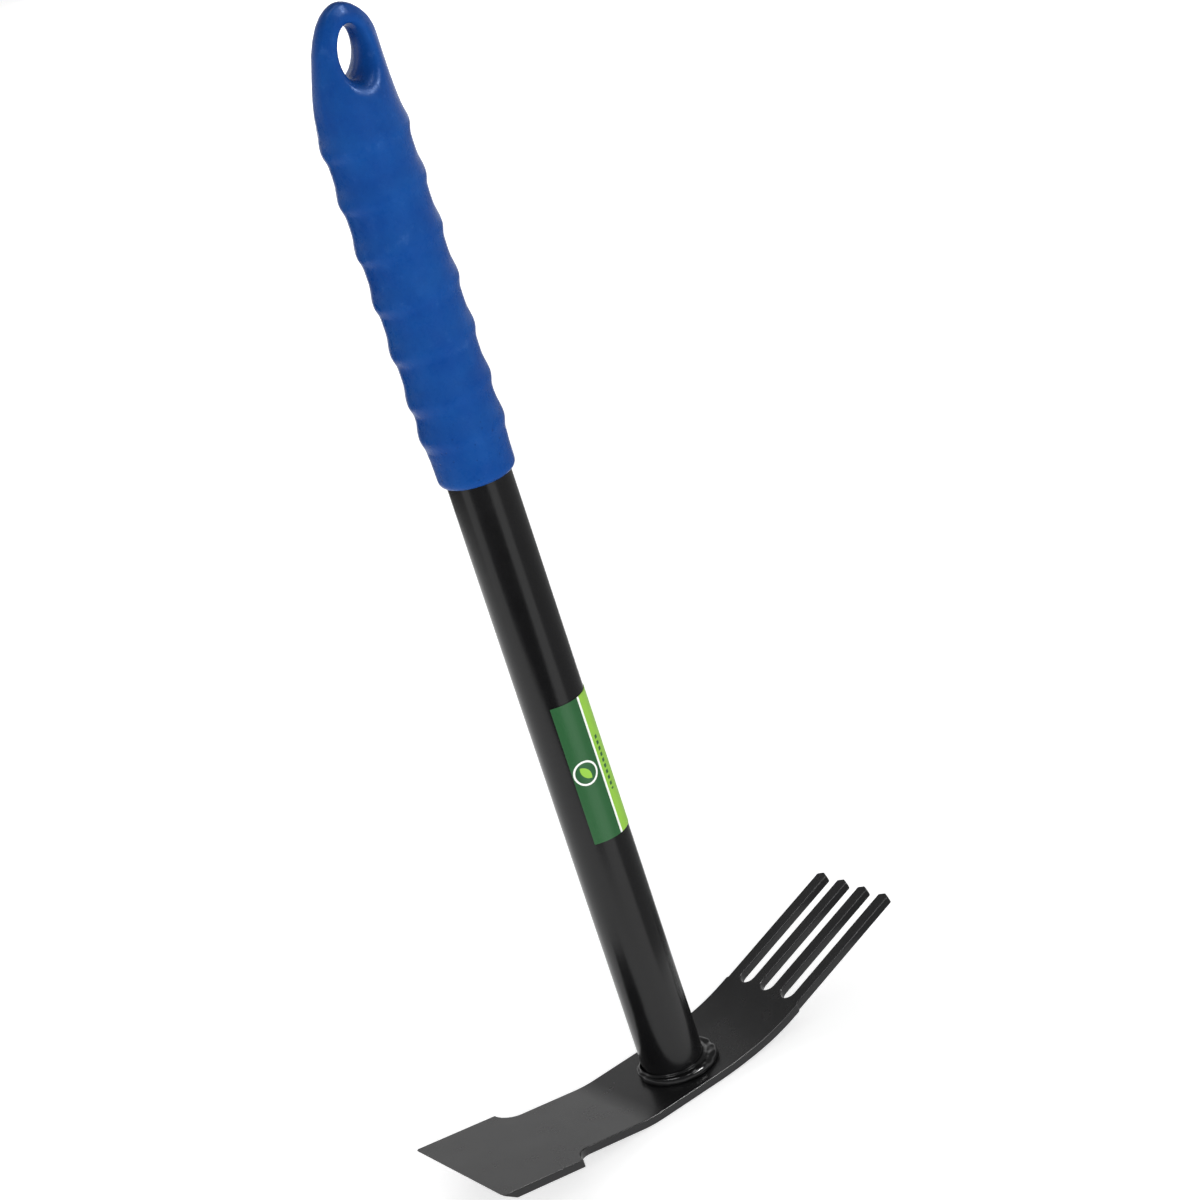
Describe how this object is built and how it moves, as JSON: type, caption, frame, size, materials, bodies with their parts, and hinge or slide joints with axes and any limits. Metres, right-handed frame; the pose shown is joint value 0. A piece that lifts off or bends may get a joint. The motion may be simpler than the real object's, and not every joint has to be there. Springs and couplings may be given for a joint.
{
  "type": "grub hoe",
  "caption": "Short-handled grub hoe: a bent steel plate with a broad blade at one end and tines at the other, on a steel tube with a ribbed vinyl grip and hanging eye.",
  "frame": {"origin": "on the tube's axis, at the flat underside of the head", "axes": "+Z along the tube towards the grip, +X towards the tines, -X towards the blade, Y across the head"},
  "size_m": [0.1834, 0.0544, 0.3878],
  "materials": {
    "head_paint": "satin black enamel on stamped steel plate",
    "tube_paint": "semi-gloss black enamel on steel tube",
    "bead_paint": "gloss black enamel over a rippled weld bead",
    "blue_vinyl": "smooth blue vinyl with a soft sheen",
    "label_film": "printed vinyl sticker, dark green field and lime band"
  },
  "bodies": {
    "root": {"head": "head_paint", "shaft": "tube_paint", "weld_bead": "bead_paint", "grip": "blue_vinyl", "label": "label_film"}
  },
  "joints": []
}
